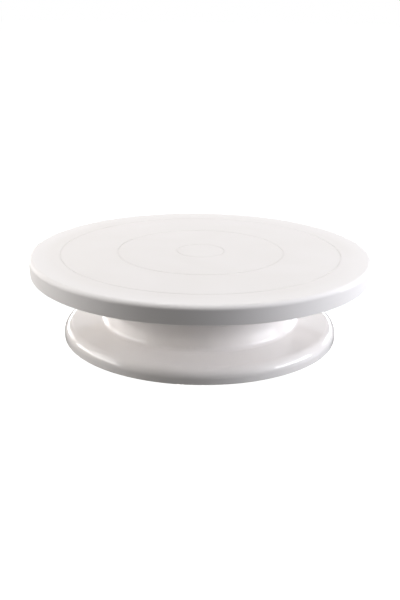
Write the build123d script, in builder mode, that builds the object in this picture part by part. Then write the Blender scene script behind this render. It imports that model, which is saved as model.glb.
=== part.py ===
"""A cake turntable: a moulded plate that turns on a ring of steel balls above a waisted base.

Millimetres, +Z up.  The turning axis is Z and the feet stand on Z = 0.
"""
from build123d import *
import os

os.makedirs("parts", exist_ok=True)

# ---------------------------------------------------------------- driving dimensions
plate_radius = 140.0
total_height = 70.7
plate_web = 3.0
skirt_depth = 14.7
skirt_wall = 2.4
skirt_draft = 1.0
skirt_thinning = 0.4
rim_rounding = 3.2
rim_inner_rounding = 2.0
guide_ring_radii = (19.5, 68.2, 114.7)
guide_groove_depth = 0.3
guide_groove_width = 0.4

foot_height = 0.5
flange_radius = 113.6
flange_edge_height = 12.6
shoulder_radius = 7.5
neck_foot_radius = 79.6
neck_foot_height = 13.3
neck_foot_fillet = 3.8
neck_top_radius = 78.4
neck_top_height = 61.7
base_wall = 2.5
edge_break = 0.8
small_edge_break = 0.5
deck_thickness = 3.7
boss_length = 17.0
rib_overlap = 1.0

ball_radius = 4.0
ball_count = 16
ball_circle = 64.0
ball_gap = 0.1
groove_radius = 4.4
groove_depth = 0.6
race_inner = 54.0
race_outer = 71.0
race_thickness = 1.6
race_seat_depth = 0.7
race_seat_gap = 0.05
race_screw_circle = 58.0
race_screw_count = 4
race_screw_angle = 45.0
screw_shank = 1.5
screw_head = 2.8
screw_head_height = screw_head - screw_shank
screw_length = 5.0
screw_hole_depth = screw_length - race_thickness + 0.2

shoulder_pin = 5.0
running_gap = 0.05
thread_radius = 4.0
bush_radius = 7.0
bush_flange_radius = 10.0
bush_flange_thickness = 1.0
hub_clearance = 0.4

foot_count = 6
foot_circle = 100.0
foot_radius = 6.5
foot_stem = 2.5

# ---------------------------------------------------------------- heights that follow
deck_top = 56.0
lower_seat = deck_top - race_seat_depth
lower_race_top = lower_seat + race_thickness
ball_height = lower_race_top - groove_depth + ball_gap + ball_radius
upper_race_bottom = ball_height + ball_radius + ball_gap - groove_depth
upper_seat = upper_race_bottom + race_thickness
pad_bottom = upper_seat - race_seat_depth
web_bottom = total_height - plate_web
skirt_bottom = total_height - skirt_depth
deck_underside = deck_top - deck_thickness
hub_end = deck_top + bush_flange_thickness + hub_clearance
boss_end = deck_top - boss_length


def polar_planes(count, start):
    """Upright planes through the turning axis, evenly spaced, each with its X pointing outward."""
    outward = [Vector(1, 0, 0).rotate(Axis.Z, start + i * 360 / count) for i in range(count)]
    return [Plane((0, 0, 0), x_dir=x, z_dir=x.rotate(Axis.Z, -90)) for x in outward]


# ---------------------------------------------------------------- top plate
# the skirt leans out with its draft, so the widest circle is where the rim rounding starts
corner_radius = plate_radius + skirt_draft * rim_rounding / skirt_depth
skirt_end_radius = corner_radius - skirt_draft
plate_outline = [
    (0, total_height),
    (corner_radius, total_height),
    (skirt_end_radius, skirt_bottom),
    (skirt_end_radius - skirt_wall + skirt_thinning, skirt_bottom),
    (corner_radius - skirt_wall, web_bottom),
    (0, web_bottom),
]
plate_corner_radii = [0, rim_rounding, edge_break, edge_break, rim_inner_rounding, 0]
pad_inner = race_inner - 1.5
pad_outer = race_outer + 2.0
hub_radius = 12.0
insert_radius = 6.0
insert_top = web_bottom - 1.0
rib_root = web_bottom + rib_overlap
outer_rib_bottom = web_bottom - 4.0
inner_rib_bottom = web_bottom - 5.0
rib_thickness = 1.8
crumb_guard_radius = 84.0
crumb_guard_bottom = neck_top_height - 3.0
stiffener_radius = 111.0
ejector_mark_radius = 3.0
ejector_mark_depth = 0.25

with BuildPart() as top_plate:
    with BuildSketch(Plane.XZ):
        with BuildLine():
            FilletPolyline(*plate_outline, radius=plate_corner_radii, close=True)
        make_face()
    revolve(axis=Axis.Z)
    # the pad that carries the upper race, and the hub that holds the threaded insert
    with BuildSketch(Plane.XY.offset(pad_bottom)):
        Circle(pad_outer)
        Circle(pad_inner, mode=Mode.SUBTRACT)
    extrude(amount=rib_root - pad_bottom)
    with BuildSketch(Plane.XY.offset(hub_end)):
        Circle(hub_radius)
    extrude(amount=rib_root - hub_end)
    # ring ribs: the inner one keeps crumbs out of the bearing
    for ring_radius, ring_bottom in (
        (crumb_guard_radius, crumb_guard_bottom),
        (stiffener_radius, outer_rib_bottom),
    ):
        with BuildSketch(Plane.XY.offset(ring_bottom)):
            Circle(ring_radius + rib_thickness)
            Circle(ring_radius, mode=Mode.SUBTRACT)
        extrude(amount=rib_root - ring_bottom)
    # radial ribs outside and inside the pad
    with BuildSketch(*polar_planes(12, 15)):
        with Locations((pad_outer - rib_overlap, outer_rib_bottom)):
            Rectangle(
                plate_radius - skirt_wall - pad_outer + rib_overlap,
                rib_root - outer_rib_bottom,
                align=(Align.MIN, Align.MIN),
            )
    extrude(amount=rib_thickness / 2, both=True)
    with BuildSketch(*polar_planes(6, 0)):
        with Locations((hub_radius - rib_overlap, inner_rib_bottom)):
            Rectangle(
                pad_inner - hub_radius + 2 * rib_overlap,
                rib_root - inner_rib_bottom,
                align=(Align.MIN, Align.MIN),
            )
    extrude(amount=rib_thickness / 2, both=True)
    # round marks left by the ejector pins of the mould
    with BuildSketch(Plane.XY.offset(web_bottom)):
        with PolarLocations((stiffener_radius + plate_radius) / 2, 12):
            Circle(ejector_mark_radius)
        with PolarLocations((crumb_guard_radius + stiffener_radius) / 2, 12):
            Circle(ejector_mark_radius)
    extrude(amount=ejector_mark_depth, mode=Mode.SUBTRACT)
    # the seat of the upper race
    with BuildSketch(Plane.XY.offset(pad_bottom)):
        Circle(race_outer + race_seat_gap)
        Circle(race_inner - race_seat_gap, mode=Mode.SUBTRACT)
    extrude(amount=race_seat_depth, mode=Mode.SUBTRACT)
    # holes for the race screws and the insert
    with BuildSketch(Plane.XY.offset(upper_seat)):
        with PolarLocations(race_screw_circle, race_screw_count, race_screw_angle):
            Circle(screw_shank)
    extrude(amount=screw_hole_depth, mode=Mode.SUBTRACT)
    with BuildSketch(Plane.XY.offset(hub_end)):
        Circle(insert_radius)
    extrude(amount=insert_top - hub_end, mode=Mode.SUBTRACT)
    # guide rings: fine square-sided grooves for centring a cake
    for ring_radius in guide_ring_radii:
        with BuildSketch(Plane.XZ):
            with Locations((ring_radius, total_height)):
                Rectangle(guide_groove_width, 2 * guide_groove_depth)
        revolve(axis=Axis.Z, mode=Mode.SUBTRACT)

top_plate.part.label = "top_plate"
export_step(top_plate.part, "parts/top_plate.step")

# ---------------------------------------------------------------- base
boss_radius = 13.0
boss_draft = 0.6
boss_root_fillet = 2.0
neck_draft = 0.3
neck_root_fillet = 3.0
inner_neck_radius = neck_top_radius - base_wall
inner_foot_radius = neck_foot_radius - base_wall
inner_flange_radius = flange_radius - base_wall
base_outline = [
    (flange_radius, foot_height),
    (flange_radius, flange_edge_height),
    (neck_foot_radius, neck_foot_height),
    (neck_top_radius, neck_top_height),
    (inner_neck_radius, neck_top_height),
    (inner_neck_radius, deck_top),
    (bush_radius, deck_top),
    (bush_radius, boss_end),
    (boss_radius, boss_end),
    (boss_radius + boss_draft, deck_underside),
    (inner_neck_radius - neck_draft, deck_underside),
    (inner_foot_radius, neck_foot_height - base_wall),
    (inner_flange_radius, flange_edge_height - base_wall),
    (inner_flange_radius, foot_height),
]
base_corner_radii = [
    edge_break,
    shoulder_radius,
    neck_foot_fillet,
    edge_break,
    edge_break,
    small_edge_break,
    0,
    0,
    edge_break,
    boss_root_fillet,
    neck_root_fillet,
    neck_foot_fillet + base_wall,
    shoulder_radius - base_wall,
    small_edge_break,
]
deck_rib_depth = 8.0
deck_rib_bottom = deck_underside - deck_rib_depth
# the ribs under the flange: their upper edge runs inside the deck and the shoulder
flange_rib_bottom = 4.0
flange_rib_slope = 6.0
flange_rib_start = inner_foot_radius + rib_overlap
flange_rib_end = inner_flange_radius + 0.7
half_wall = base_wall / 2
flange_rib = [
    (flange_rib_start, flange_rib_bottom + flange_rib_slope),
    (flange_rib_start + flange_rib_slope, flange_rib_bottom),
    (flange_rib_end, flange_rib_bottom),
    (flange_rib_end, flange_edge_height - base_wall - 0.6),
    (flange_radius - shoulder_radius, flange_edge_height - half_wall),
    (flange_rib_start, neck_foot_height - half_wall),
]
foot_boss_radius = 8.5
foot_recess = 0.4
foot_boss_bottom = foot_height + foot_recess
foot_boss_top = 11.6
foot_pad_top = 3.4
foot_stem_top = 8.0
screw_boss_radius = 3.6
screw_boss_depth = 3.0
screw_boss_bottom = deck_underside - screw_boss_depth

with BuildPart() as base_shell:
    with BuildSketch(Plane.XZ):
        with BuildLine():
            FilletPolyline(*base_outline, radius=base_corner_radii, close=True)
        make_face()
    revolve(axis=Axis.Z)
    # ribs under the deck, from the boss to the neck wall
    with BuildSketch(*polar_planes(8, 22.5)):
        with Locations((boss_radius - rib_overlap, deck_rib_bottom)):
            Rectangle(
                inner_neck_radius - boss_radius + 2 * rib_overlap,
                deck_rib_depth + rib_overlap,
                align=(Align.MIN, Align.MIN),
            )
    extrude(amount=rib_thickness / 2, both=True)
    # ribs under the flange, shaped to the slope of its deck
    with BuildSketch(*polar_planes(12, 15)):
        with BuildLine():
            Polyline(*flange_rib, close=True)
        make_face()
    extrude(amount=rib_thickness / 2, both=True)
    # bosses for the feet and for the race screws
    with BuildSketch(Plane.XY.offset(foot_boss_bottom)):
        with PolarLocations(foot_circle, foot_count):
            Circle(foot_boss_radius)
    extrude(amount=foot_boss_top - foot_boss_bottom)
    with BuildSketch(Plane.XY.offset(screw_boss_bottom)):
        with PolarLocations(race_screw_circle, race_screw_count, race_screw_angle):
            Circle(screw_boss_radius)
    extrude(amount=screw_boss_depth + rib_overlap)
    # ejector marks under the deck
    with BuildSketch(Plane.XY.offset(deck_underside)):
        with PolarLocations((boss_radius + race_screw_circle) / 2, 8):
            Circle(ejector_mark_radius)
    extrude(amount=ejector_mark_depth, mode=Mode.SUBTRACT)
    # sockets of the feet
    with BuildSketch(Plane.XY.offset(foot_boss_bottom)):
        with PolarLocations(foot_circle, foot_count):
            Circle(foot_radius)
    extrude(amount=foot_pad_top - foot_boss_bottom, mode=Mode.SUBTRACT)
    with BuildSketch(Plane.XY.offset(foot_pad_top)):
        with PolarLocations(foot_circle, foot_count):
            Circle(foot_stem)
    extrude(amount=foot_stem_top - foot_pad_top, mode=Mode.SUBTRACT)
    # the seat of the lower race and its screw holes
    with BuildSketch(Plane.XY.offset(deck_top)):
        Circle(race_outer + race_seat_gap)
        Circle(race_inner - race_seat_gap, mode=Mode.SUBTRACT)
    extrude(amount=-race_seat_depth, mode=Mode.SUBTRACT)
    with BuildSketch(Plane.XY.offset(lower_seat)):
        with PolarLocations(race_screw_circle, race_screw_count, race_screw_angle):
            Circle(screw_shank)
    extrude(amount=-screw_hole_depth, mode=Mode.SUBTRACT)

base_shell.part.label = "base_shell"
export_step(base_shell.part, "parts/base_shell.step")

# ---------------------------------------------------------------- ball races
with BuildPart(Plane.XY.offset(lower_race_top)) as lower_race:
    with BuildSketch(Plane.XY.offset(lower_seat)):
        Circle(race_outer)
        Circle(race_inner, mode=Mode.SUBTRACT)
    extrude(amount=race_thickness)
    with BuildSketch(Plane.XZ):
        with Locations((ball_circle, lower_race_top - groove_depth + groove_radius)):
            Circle(groove_radius)
    revolve(axis=Axis.Z, mode=Mode.SUBTRACT)
    with PolarLocations(race_screw_circle, race_screw_count, race_screw_angle):
        CounterSinkHole(screw_shank, screw_head, depth=race_thickness, counter_sink_angle=90)

lower_race.part.label = "lower_race"
export_step(lower_race.part, "parts/lower_race.step")

facing_down = Plane(origin=(0, 0, upper_race_bottom), x_dir=(1, 0, 0), z_dir=(0, 0, -1))

with BuildPart(facing_down) as upper_race:
    with BuildSketch(Plane.XY.offset(upper_race_bottom)):
        Circle(race_outer)
        Circle(race_inner, mode=Mode.SUBTRACT)
    extrude(amount=race_thickness)
    with BuildSketch(Plane.XZ):
        with Locations((ball_circle, upper_race_bottom + groove_depth - groove_radius)):
            Circle(groove_radius)
    revolve(axis=Axis.Z, mode=Mode.SUBTRACT)
    with PolarLocations(race_screw_circle, race_screw_count, race_screw_angle):
        CounterSinkHole(screw_shank, screw_head, depth=race_thickness, counter_sink_angle=90)

upper_race.part.label = "upper_race"
export_step(upper_race.part, "parts/upper_race.step")


# ---------------------------------------------------------------- race screws
recess_width = 0.7
recess_span = 3.0
recess_depth = 1.6


def race_screws(head_plane):
    """Four countersunk screws, their heads flush with a plane and pointing back from it."""
    top = (Align.CENTER, Align.CENTER, Align.MAX)
    with BuildPart(head_plane) as screws:
        with PolarLocations(race_screw_circle, race_screw_count, race_screw_angle):
            Cone(screw_shank, screw_head, screw_head_height, align=top)
            Cylinder(screw_shank, screw_length, align=top)
            Box(recess_width, recess_span, recess_depth, align=top, mode=Mode.SUBTRACT)
            Box(recess_span, recess_width, recess_depth, align=top, mode=Mode.SUBTRACT)
    return screws


lower_race_screws = race_screws(Plane.XY.offset(lower_race_top))
lower_race_screws.part.label = "lower_race_screws"
export_step(lower_race_screws.part, "parts/lower_race_screws.step")

upper_race_screws = race_screws(facing_down)
upper_race_screws.part.label = "upper_race_screws"
export_step(upper_race_screws.part, "parts/upper_race_screws.step")

# ---------------------------------------------------------------- ball cage and balls
pocket_radius = ball_radius + 0.15
pocket_wall = 5.7
pocket_height = 4.6
cage_height = 2.2
cage_half_width = 4.6

with BuildPart() as ball_cage:
    with BuildSketch(Plane.XY.offset(ball_height)):
        Circle(ball_circle + cage_half_width)
        Circle(ball_circle - cage_half_width, mode=Mode.SUBTRACT)
    extrude(amount=cage_height / 2, both=True)
    with BuildSketch(Plane.XY.offset(ball_height)):
        with PolarLocations(ball_circle, ball_count):
            Circle(pocket_wall)
    extrude(amount=pocket_height / 2, both=True)
    with Locations(Plane.XY.offset(ball_height)):
        with PolarLocations(ball_circle, ball_count):
            Sphere(pocket_radius, mode=Mode.SUBTRACT)

ball_cage.part.label = "ball_cage"
export_step(ball_cage.part, "parts/ball_cage.step")

for i in range(ball_count):
    with BuildPart(Plane.XY.offset(ball_height)) as ball:
        with PolarLocations(ball_circle, 1, i * 360 / ball_count):
            Sphere(ball_radius)
    ball.part.label = f"ball_{i + 1:02d}"
    export_step(ball.part, f"parts/ball_{i + 1:02d}.step")

# ---------------------------------------------------------------- pivot
slip_washer_thickness = 0.9
steel_washer_thickness = 1.2
axial_play = 0.1
washer_radius = 12.0
washer_chamfer = 0.3
screw_head_radius = 8.5
screw_head_thickness = 4.5
screw_head_rounding = 1.2
hexagon_half_width = 3.0
hexagon_depth = 3.0
thread_end_gap = 0.8
thread_chamfer = 0.7
insert_groove_depth = 0.6
insert_groove_half_width = 0.6
washer_top = boss_end - slip_washer_thickness - axial_play
head_top = washer_top - steel_washer_thickness

with BuildPart() as pivot_bush:
    with BuildSketch(Plane.XY.offset(boss_end)):
        Circle(bush_radius)
        Circle(shoulder_pin + running_gap, mode=Mode.SUBTRACT)
    extrude(amount=deck_top - boss_end)
    with BuildSketch(Plane.XY.offset(deck_top)):
        Circle(bush_flange_radius)
        Circle(shoulder_pin + running_gap, mode=Mode.SUBTRACT)
    extrude(amount=bush_flange_thickness)

pivot_bush.part.label = "pivot_bush"
export_step(pivot_bush.part, "parts/pivot_bush.step")

with BuildPart() as slip_washer:
    with BuildSketch(Plane.XY.offset(boss_end)):
        Circle(washer_radius)
        Circle(shoulder_pin + 2 * running_gap, mode=Mode.SUBTRACT)
    extrude(amount=-slip_washer_thickness)

slip_washer.part.label = "slip_washer"
export_step(slip_washer.part, "parts/slip_washer.step")

with BuildPart() as steel_washer:
    with BuildSketch(Plane.XY.offset(washer_top)):
        Circle(washer_radius)
        Circle(shoulder_pin + 2 * running_gap, mode=Mode.SUBTRACT)
    extrude(amount=-steel_washer_thickness)
    lower_edges = steel_washer.edges().group_by(Axis.Z)[0]
    chamfer(lower_edges.sort_by(SortBy.RADIUS)[-1], washer_chamfer)

steel_washer.part.label = "steel_washer"
export_step(steel_washer.part, "parts/steel_washer.step")

with BuildPart() as hub_insert:
    with BuildSketch(Plane.XY.offset(hub_end)):
        Circle(insert_radius)
        Circle(thread_radius, mode=Mode.SUBTRACT)
    extrude(amount=insert_top - hub_end)
    # two grooves that the plastic grips
    for share in (1 / 3, 2 / 3):
        with BuildSketch(Plane.XY.offset(hub_end + share * (insert_top - hub_end))):
            Circle(insert_radius)
            Circle(insert_radius - insert_groove_depth, mode=Mode.SUBTRACT)
        extrude(amount=insert_groove_half_width, both=True, mode=Mode.SUBTRACT)

hub_insert.part.label = "hub_insert"
export_step(hub_insert.part, "parts/hub_insert.step")

with BuildPart() as pivot_screw:
    with BuildSketch(Plane.XY.offset(head_top)):
        Circle(screw_head_radius)
    extrude(amount=-screw_head_thickness)
    fillet(pivot_screw.edges().group_by(Axis.Z)[0], screw_head_rounding)
    with BuildSketch(Plane.XY.offset(head_top)):
        Circle(shoulder_pin)
    extrude(amount=hub_end - head_top)
    with BuildSketch(Plane.XY.offset(hub_end)):
        Circle(thread_radius)
    extrude(amount=insert_top - hub_end - thread_end_gap)
    chamfer(pivot_screw.edges().group_by(Axis.Z)[-1], thread_chamfer)
    with BuildSketch(Plane.XY.offset(head_top - screw_head_thickness)):
        RegularPolygon(hexagon_half_width, 6, major_radius=False)
    extrude(amount=hexagon_depth, mode=Mode.SUBTRACT)

pivot_screw.part.label = "pivot_screw"
export_step(pivot_screw.part, "parts/pivot_screw.step")

# ---------------------------------------------------------------- feet
foot_chamfer = 0.5

for i in range(foot_count):
    with BuildPart() as foot:
        with BuildSketch(Plane.XY):
            with PolarLocations(foot_circle, 1, i * 360 / foot_count):
                Circle(foot_radius)
        extrude(amount=foot_pad_top)
        chamfer(foot.edges().group_by(Axis.Z)[0], foot_chamfer)
        with BuildSketch(Plane.XY.offset(foot_pad_top)):
            with PolarLocations(foot_circle, 1, i * 360 / foot_count):
                Circle(foot_stem)
        extrude(amount=foot_stem_top - foot_pad_top)
    foot.part.label = f"foot_{i + 1}"
    export_step(foot.part, f"parts/foot_{i + 1}.step")
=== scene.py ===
import math

import bpy
from mathutils import Matrix, Vector


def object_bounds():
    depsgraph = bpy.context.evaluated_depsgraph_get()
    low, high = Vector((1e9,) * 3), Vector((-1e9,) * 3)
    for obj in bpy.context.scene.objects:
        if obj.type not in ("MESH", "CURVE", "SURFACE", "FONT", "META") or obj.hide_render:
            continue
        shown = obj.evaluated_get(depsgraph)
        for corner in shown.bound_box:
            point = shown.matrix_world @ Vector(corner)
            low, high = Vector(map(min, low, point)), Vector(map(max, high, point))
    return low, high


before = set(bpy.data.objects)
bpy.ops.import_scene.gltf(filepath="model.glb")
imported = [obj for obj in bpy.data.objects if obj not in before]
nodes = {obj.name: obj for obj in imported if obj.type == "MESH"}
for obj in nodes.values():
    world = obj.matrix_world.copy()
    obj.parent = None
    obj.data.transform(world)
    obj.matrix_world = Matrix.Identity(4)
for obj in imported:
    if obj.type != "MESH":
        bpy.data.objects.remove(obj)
cad_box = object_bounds()

# ---------------------------------------------------------------- places taken from the frame
floor_z = cad_box[0].z
top_z = cad_box[1].z

# ---------------------------------------------------------------- camera
CAMERA_LENS_MM = 49.72
SENSOR_MM = 36.0
CAMERA_DISTANCE = 0.6877
CAMERA_ELEVATION = math.radians(15.424)
CAMERA_AIM_HEIGHT = 0.0274
CAMERA_ROLL = math.radians(0.697)
CAMERA_CLIP_START = 0.01
CAMERA_CLIP_END = 100.0


def make_camera():
    """In front of the turntable and a little above it, leaning by under a degree."""
    data = bpy.data.cameras.new("camera")
    data.lens = CAMERA_LENS_MM
    data.sensor_width = SENSOR_MM
    data.clip_start = CAMERA_CLIP_START
    data.clip_end = CAMERA_CLIP_END
    camera = bpy.data.objects.new("camera", data)
    top_centre = Vector((0.0, 0.0, top_z))
    away = Vector((0.0, -math.cos(CAMERA_ELEVATION), math.sin(CAMERA_ELEVATION)))
    place = top_centre + away * CAMERA_DISTANCE
    aim = Vector((0.0, 0.0, CAMERA_AIM_HEIGHT))
    turn = (aim - place).to_track_quat("-Z", "Y").to_matrix().to_4x4()
    roll = Matrix.Rotation(CAMERA_ROLL, 4, "Z")
    camera.matrix_world = Matrix.Translation(place) @ turn @ roll
    bpy.context.scene.collection.objects.link(camera)
    bpy.context.scene.camera = camera


# ---------------------------------------------------------------- material helpers
# where nearly all of a noise texture's values lie
NOISE_RANGE = (0.3, 0.7)

# the colour sockets of a Mix node, which has no unique names for them
MIX_COLOR_A = 6
MIX_COLOR_B = 7
MIX_COLOR_RESULT = 2


def scaled(color, factors):
    """The colour with each channel multiplied, and none brighter than white."""
    return tuple(min(channel * factor, 1.0) for channel, factor in zip(color, factors))


class Tree:
    """A node tree under construction: adds nodes, joins them, and sets their inputs."""

    def __init__(self, name, base_color, roughness, metallic=0.0, ior=1.5):
        self.material = bpy.data.materials.new(name)
        self.material.use_nodes = True
        self.nodes = self.material.node_tree.nodes
        self.links = self.material.node_tree.links
        self.shader = self.nodes["Principled BSDF"]
        self.set("Base Color", (*base_color, 1.0))
        self.set("Roughness", roughness)
        self.set("Metallic", metallic)
        self.set("IOR", ior)
        self.coords = self.add("ShaderNodeTexCoord").outputs["Object"]

    def add(self, kind, **values):
        node = self.nodes.new(kind)
        for key, value in values.items():
            setattr(node, key, value)
        return node

    def put(self, socket, value):
        """Sets an input, or joins it to another node's output."""
        if isinstance(value, bpy.types.NodeSocket):
            self.links.new(value, socket)
        else:
            socket.default_value = value

    def set(self, name, value):
        self.put(self.shader.inputs[name], value)

    def math(self, operation, a, b=0.0, clamp=False):
        node = self.add("ShaderNodeMath", operation=operation, use_clamp=clamp)
        self.put(node.inputs[0], a)
        self.put(node.inputs[1], b)
        return node.outputs[0]

    def split(self):
        """The coordinates, one by one."""
        node = self.add("ShaderNodeSeparateXYZ")
        self.put(node.inputs[0], self.coords)
        return node.outputs["X"], node.outputs["Y"], node.outputs["Z"]

    def join(self, x, y, z):
        node = self.add("ShaderNodeCombineXYZ")
        for socket, value in zip(node.inputs, (x, y, z)):
            self.put(socket, value)
        return node.outputs[0]

    def noise(self, scale, detail=4.0, roughness=0.5, vector=None, distortion=0.0):
        node = self.add("ShaderNodeTexNoise")
        self.put(node.inputs["Vector"], vector or self.coords)
        self.put(node.inputs["Scale"], scale)
        self.put(node.inputs["Detail"], detail)
        self.put(node.inputs["Roughness"], roughness)
        self.put(node.inputs["Distortion"], distortion)
        return node.outputs["Fac"]

    def remap(self, value, low, high, to_low, to_high):
        node = self.add("ShaderNodeMapRange")
        self.put(node.inputs["Value"], value)
        self.put(node.inputs["From Min"], low)
        self.put(node.inputs["From Max"], high)
        self.put(node.inputs["To Min"], to_low)
        self.put(node.inputs["To Max"], to_high)
        return node.outputs["Result"]

    def mix(self, factor, a, b):
        """Blends two colours, each a tuple or another node's output."""
        node = self.add("ShaderNodeMix", data_type="RGBA")
        self.put(node.inputs["Factor"], factor)
        for socket, color in ((MIX_COLOR_A, a), (MIX_COLOR_B, b)):
            self.put(node.inputs[socket], (*color, 1.0) if isinstance(color, tuple) else color)
        return node.outputs[MIX_COLOR_RESULT]

    def set_bump(self, height, distance, strength):
        node = self.add("ShaderNodeBump")
        self.put(node.inputs["Height"], height)
        self.put(node.inputs["Distance"], distance)
        self.put(node.inputs["Strength"], strength)
        self.set("Normal", node.outputs["Normal"])

    def radius(self):
        """Distance from the turning axis."""
        x, y, _ = self.split()
        squares = self.math("ADD", self.math("MULTIPLY", x, x), self.math("MULTIPLY", y, y))
        return self.math("SQRT", squares)

    def turned(self, scale):
        """Lathe marks: noise that changes with the radius and height only."""
        _, _, z = self.split()
        profile = self.join(self.radius(), z, 0.0)
        return self.noise(scale, detail=6.0, roughness=0.7, vector=profile)


# the guide rings in the plate's top, and the painted shade in and beside them
GUIDE_RING_RADII = (0.0195, 0.0682, 0.1147)
GROOVE_SHADE_CORE = 0.0003
GROOVE_SHADE_REACH = 0.0016
PAINTED_GROOVE_SHADE = 0.095
GROOVE_SHADE_COLOR = (0.50, 0.48, 0.46)

# the plate's outer border is painted a little lighter: a painted highlight along the rim
RIM_HIGHLIGHT_BAND = (0.122, 0.136)
RIM_HIGHLIGHT_LIFT = (1.04, 1.045, 1.05)

# slow variation of a white plastic's colour, from the flow in the mould
FLOW_DIM = (0.985, 0.983, 0.976)
FLOW_BRIGHT = (1.01, 1.01, 1.012)

# hairline scratches: half the width of the noise's level line, and its stretch along a slant
HAIRLINE_WIDTH = 0.006
SCRATCH_ALONG_X = 0.35
SCRATCH_ALONG_Y = 0.12
SCRATCH_ACROSS_X = 0.8
SCRATCH_ACROSS_Y = 2.4


def white_plastic(name, base_color, roughness, specular, peel_height, scratches, grooves=()):
    """White plastic: orange peel, flow marks, uneven gloss, fine scratches, painted shade in the
    grooves and a painted highlight on the outer border.
    """
    tree = Tree(name, base_color, roughness, ior=1.49)
    tree.set("Specular IOR Level", specular)
    flow = tree.noise(9.0, detail=3.0, distortion=1.2)
    cloud = tree.noise(38.0, detail=4.0)
    tone = tree.mix(
        tree.remap(flow, *NOISE_RANGE, 0.0, 1.0),
        scaled(base_color, FLOW_DIM),
        scaled(base_color, FLOW_BRIGHT),
    )
    if grooves:
        # painted highlight: the outer border of the top is lighter than the rest
        rim_highlight = tree.remap(tree.radius(), *RIM_HIGHLIGHT_BAND, 0.0, 1.0)
        tone = tree.mix(rim_highlight, tone, scaled(base_color, RIM_HIGHLIGHT_LIFT))
    for groove_radius in grooves:
        # painted shade: each guide groove and its edges are greyed, patchy with noise
        away = tree.math("ABSOLUTE", tree.math("SUBTRACT", tree.radius(), groove_radius))
        near = tree.remap(away, GROOVE_SHADE_CORE, GROOVE_SHADE_REACH, 1.0, 0.0)
        groove_shade = tree.math("MULTIPLY", near, PAINTED_GROOVE_SHADE)
        shade_patches = tree.remap(cloud, *NOISE_RANGE, 0.7, 1.0)
        tone = tree.mix(tree.math("MULTIPLY", groove_shade, shade_patches), tone, GROOVE_SHADE_COLOR)
    tree.set("Base Color", tone)
    hair = tree.noise(60.0, detail=2.0, vector=tree.join(*scratch_axes(tree)), distortion=0.4)
    off_line = tree.math("ABSOLUTE", tree.math("SUBTRACT", hair, 0.5))
    hairline = tree.remap(off_line, 0.0, HAIRLINE_WIDTH, 1.0, 0.0)
    gloss = tree.remap(cloud, *NOISE_RANGE, roughness * 0.8, roughness * 1.25)
    scratched = tree.math("ADD", gloss, tree.math("MULTIPLY", hairline, scratches), clamp=True)
    tree.set("Roughness", scratched)
    peel = tree.noise(520.0, detail=2.0, roughness=0.4)
    tree.set_bump(peel, peel_height, strength=0.6)
    return tree.material


def scratch_axes(tree):
    """Coordinates stretched along one slant, so that the level lines are long and thin."""
    x, y, z = tree.split()
    along = tree.math(
        "ADD",
        tree.math("MULTIPLY", x, SCRATCH_ALONG_X),
        tree.math("MULTIPLY", y, SCRATCH_ALONG_Y),
    )
    across = tree.math(
        "SUBTRACT",
        tree.math("MULTIPLY", y, SCRATCH_ACROSS_Y),
        tree.math("MULTIPLY", x, SCRATCH_ACROSS_X),
    )
    return along, across, z


def machined_metal(name, base_color, roughness, line_scale, line_height, tint):
    """Turned or rolled metal: rings from the tool, uneven shine and a thin tint in patches."""
    tree = Tree(name, base_color, roughness, metallic=1.0)
    lines = tree.turned(line_scale)
    stain = tree.noise(160.0, detail=5.0, roughness=0.6)
    patches = tree.remap(stain, 0.42, 0.72, 0.0, 1.0)
    tree.set("Base Color", tree.mix(patches, base_color, tint))
    shine = tree.remap(lines, *NOISE_RANGE, roughness - 0.08, roughness + 0.1)
    smear = tree.remap(stain, *NOISE_RANGE, -0.03, 0.05)
    tree.set("Roughness", tree.math("ADD", shine, smear, clamp=True))
    tree.set_bump(lines, line_height, strength=0.7)
    return tree.material


GREASE_COLOR = (0.62, 0.60, 0.52)


def polished_steel(name, base_color, roughness):
    """Bearing balls: a mirror finish under a thin, patchy film of grease."""
    tree = Tree(name, base_color, roughness, metallic=1.0)
    film = tree.noise(420.0, detail=3.0)
    tree.set("Roughness", tree.remap(film, 0.4, 0.7, roughness, roughness + 0.16))
    greasy = tree.remap(film, 0.45, 0.75, 0.0, 0.5)
    tree.set("Base Color", tree.mix(greasy, base_color, GREASE_COLOR))
    tree.set_bump(tree.noise(2500.0, detail=1.0), 0.000002, strength=0.4)
    return tree.material


YELLOWING = (0.93, 0.92, 0.86)


def bearing_plastic(name, base_color, roughness, grain):
    """Natural nylon or acetal: slightly yellow and waxy, with a fine grain from the mould."""
    tree = Tree(name, base_color, roughness, ior=1.48)
    cloud = tree.noise(120.0, detail=4.0)
    fresh = tree.remap(cloud, *NOISE_RANGE, 0.0, 1.0)
    tree.set("Base Color", tree.mix(fresh, scaled(base_color, YELLOWING), base_color))
    tree.set("Roughness", tree.remap(cloud, *NOISE_RANGE, roughness - 0.06, roughness + 0.08))
    tree.set_bump(tree.noise(grain, detail=3.0), 0.00002, strength=0.7)
    return tree.material


DUST_COLOR = (0.42, 0.41, 0.39)
DUST_HEIGHT = 0.0012


def rubber(name, base_color, roughness):
    """Moulded rubber: matt, with a fine grain, and pale dust where it stands on a worktop."""
    tree = Tree(name, base_color, roughness, ior=1.52)
    dust = tree.noise(300.0, detail=6.0, roughness=0.65)
    _, _, z = tree.split()
    low = tree.remap(z, floor_z, floor_z + DUST_HEIGHT, 1.0, 0.25)
    cover = tree.math("MULTIPLY", tree.remap(dust, 0.48, 0.75, 0.0, 0.55), low)
    tree.set("Base Color", tree.mix(cover, base_color, DUST_COLOR))
    tree.set("Roughness", tree.remap(dust, *NOISE_RANGE, roughness - 0.08, roughness + 0.06))
    tree.set_bump(tree.noise(1600.0, detail=3.0), 0.00004, strength=0.8)
    return tree.material


def assign(material, *names):
    for name in names:
        for slot in nodes[name].material_slots:
            slot.material = material


def nodes_named(start):
    return [name for name in nodes if name.startswith(start)]


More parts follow.
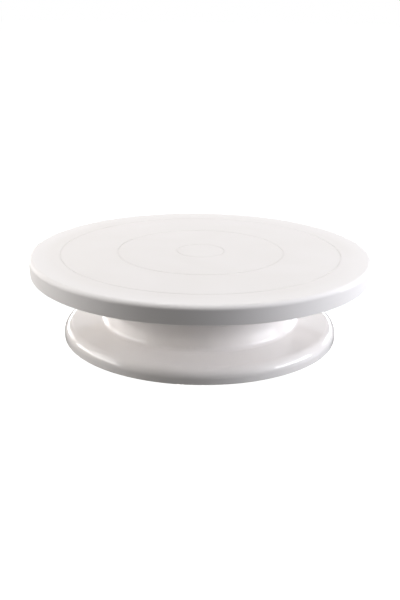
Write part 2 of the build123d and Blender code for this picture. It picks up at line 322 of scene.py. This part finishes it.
# ---------------------------------------------------------------- floor and light
# the floor lies just under the feet, so that the two faces don't fight for the same place
FLOOR_GAP = 0.0002
FLOOR_HALF = 40.0
FLOOR_GLOW_RADII = (0.15, 0.55)
FLOOR_GLOW = (0.92, 1.0)


def make_floor():
    """A pale floor out to the horizon, glowing as a lit sweep does, see-through from below."""
    mesh = bpy.data.meshes.new("floor")
    signs = [(-1, -1), (1, -1), (1, 1), (-1, 1)]
    corners = [(x * FLOOR_HALF, y * FLOOR_HALF, floor_z - FLOOR_GAP) for x, y in signs]
    mesh.from_pydata(corners, [], [(0, 1, 2, 3)])
    floor = bpy.data.objects.new("floor", mesh)
    bpy.context.scene.collection.objects.link(floor)
    tree = Tree("floor_paint", (0.35, 0.35, 0.35), 0.95)
    tree.set("Specular IOR Level", 0.0)
    tree.set("Emission Color", (1.0, 1.0, 1.0, 1.0))
    tree.set("Emission Strength", tree.remap(tree.radius(), *FLOOR_GLOW_RADII, *FLOOR_GLOW))
    side = tree.add("ShaderNodeNewGeometry").outputs["Backfacing"]
    both = tree.add("ShaderNodeMixShader")
    tree.links.new(side, both.inputs[0])
    tree.links.new(tree.shader.outputs[0], both.inputs[1])
    tree.links.new(tree.add("ShaderNodeBsdfTransparent").outputs[0], both.inputs[2])
    tree.links.new(both.outputs[0], tree.nodes["Material Output"].inputs["Surface"])
    mesh.materials.append(tree.material)
    floor.visible_diffuse = False
    floor.visible_glossy = False
    floor.visible_shadow = False


PANEL_AIM_HEIGHT = 0.04
PANEL_DISTANCE = 1.0


def panel(name, azimuth, elevation, width, height, power, color, distance=PANEL_DISTANCE):
    """A soft panel that faces the turntable. Azimuth 0 is the front, and 90 is the right."""
    a, e = math.radians(azimuth), math.radians(elevation)
    outward = Vector((math.sin(a) * math.cos(e), -math.cos(a) * math.cos(e), math.sin(e)))
    data = bpy.data.lights.new(name, "AREA")
    data.shape = "RECTANGLE"
    data.size = width
    data.size_y = height
    data.energy = power
    data.color = color
    light = bpy.data.objects.new(name, data)
    light.location = Vector((0.0, 0.0, PANEL_AIM_HEIGHT)) + outward * distance
    light.rotation_mode = "QUATERNION"
    light.rotation_quaternion = (-outward).to_track_quat("-Z", "Y")
    light.visible_camera = False
    bpy.context.scene.collection.objects.link(light)


WHITE = (1.0, 1.0, 1.0)
WARM = (1.0, 0.982, 0.965)
COOL = (0.91, 0.93, 1.0)

# name, azimuth, elevation, width, height, power, color, and a distance if it stands nearer
PANELS = [
    ("overhead", 0, 90, 0.50, 0.40, 3.64, WHITE),
    ("floor_bounce", 0, -90, 0.30, 0.30, 5.00, WARM),
    ("front_fill", 0, 30, 0.50, 0.30, 0.44, WARM),
    ("right_panel", 80, 14, 0.66, 0.30, 7.40, COOL),
    ("right_high", 74, 34, 0.50, 0.30, 1.15, WHITE),
    ("right_front", 52, 14, 0.36, 0.30, 0.60, WARM),
    ("right_rear", 130, 10, 0.34, 0.30, 1.60, COOL),
    ("right_back", 148, 6, 0.60, 0.16, 1.80, COOL),
    ("right_card", 92, -12, 0.62, 0.20, 0.45, COOL),
    ("left_panel", -90, 14, 0.98, 0.30, 5.80, WARM),
    ("left_high", -90, 32, 0.50, 0.30, 1.95, WARM),
    ("left_rear", -132, 10, 0.34, 0.30, 0.90, WARM),
    ("left_back", -150, 6, 0.60, 0.16, 1.80, WARM),
    ("back_near", 180, 20, 0.50, 0.16, 0.27, WHITE, 0.42),
]


BACKDROP_STRENGTH = 1.0
ROOM_STRENGTH = 0.02


def make_world():
    """A white surround that the camera sees, in a room that lights the turntable very little."""
    world = bpy.data.worlds.new("studio")
    world.use_nodes = True
    tree = world.node_tree
    backdrop = tree.nodes["Background"]
    room = tree.nodes.new("ShaderNodeBackground")
    for node, strength in ((backdrop, BACKDROP_STRENGTH), (room, ROOM_STRENGTH)):
        node.inputs["Color"].default_value = (1.0, 1.0, 1.0, 1.0)
        node.inputs["Strength"].default_value = strength
    path = tree.nodes.new("ShaderNodeLightPath")
    choose = tree.nodes.new("ShaderNodeMixShader")
    tree.links.new(path.outputs["Is Camera Ray"], choose.inputs[0])
    tree.links.new(room.outputs[0], choose.inputs[1])
    tree.links.new(backdrop.outputs[0], choose.inputs[2])
    tree.links.new(choose.outputs[0], tree.nodes["World Output"].inputs["Surface"])
    bpy.context.scene.world = world


# ---------------------------------------------------------------- the scene
make_camera()
make_floor()
make_world()
for row in PANELS:
    panel(*row)
bpy.context.scene.view_settings.view_transform = "Standard"

plate_white = white_plastic(
    "plate_white",
    base_color=(0.953, 0.922, 0.905),
    roughness=0.60,
    specular=0.02,
    peel_height=0.00003,
    scratches=0.10,
    grooves=GUIDE_RING_RADII,
)
base_white = white_plastic(
    "base_white",
    base_color=(0.955, 0.925, 0.908),
    roughness=0.08,
    specular=0.5,
    peel_height=0.000010,
    scratches=0.05,
)
race_steel = machined_metal(
    "race_steel",
    base_color=(0.56, 0.57, 0.58),
    roughness=0.28,
    line_scale=4200.0,
    line_height=0.000006,
    tint=(0.50, 0.49, 0.46),
)
zinc_plate = machined_metal(
    "zinc_plate",
    base_color=(0.63, 0.64, 0.66),
    roughness=0.30,
    line_scale=2600.0,
    line_height=0.000008,
    tint=(0.60, 0.58, 0.50),
)
insert_brass = machined_metal(
    "insert_brass",
    base_color=(0.72, 0.53, 0.24),
    roughness=0.30,
    line_scale=3000.0,
    line_height=0.000008,
    tint=(0.52, 0.36, 0.16),
)
ball_steel = polished_steel("ball_steel", base_color=(0.70, 0.71, 0.73), roughness=0.05)
acetal = bearing_plastic(
    "acetal", base_color=(0.80, 0.79, 0.73), roughness=0.38, grain=1400.0
)
cage_nylon = bearing_plastic(
    "cage_nylon", base_color=(0.72, 0.70, 0.62), roughness=0.50, grain=1100.0
)
foot_rubber = rubber("foot_rubber", base_color=(0.055, 0.055, 0.058), roughness=0.72)

assign(plate_white, "top_plate")
assign(base_white, "base_shell")
assign(race_steel, "upper_race", "lower_race")
assign(zinc_plate, "upper_race_screws", "lower_race_screws", "pivot_screw", "steel_washer")
assign(insert_brass, "hub_insert")
assign(ball_steel, *nodes_named("ball_0"), *nodes_named("ball_1"))
assign(acetal, "pivot_bush", "slip_washer")
assign(cage_nylon, "ball_cage")
assign(foot_rubber, *nodes_named("foot_"))
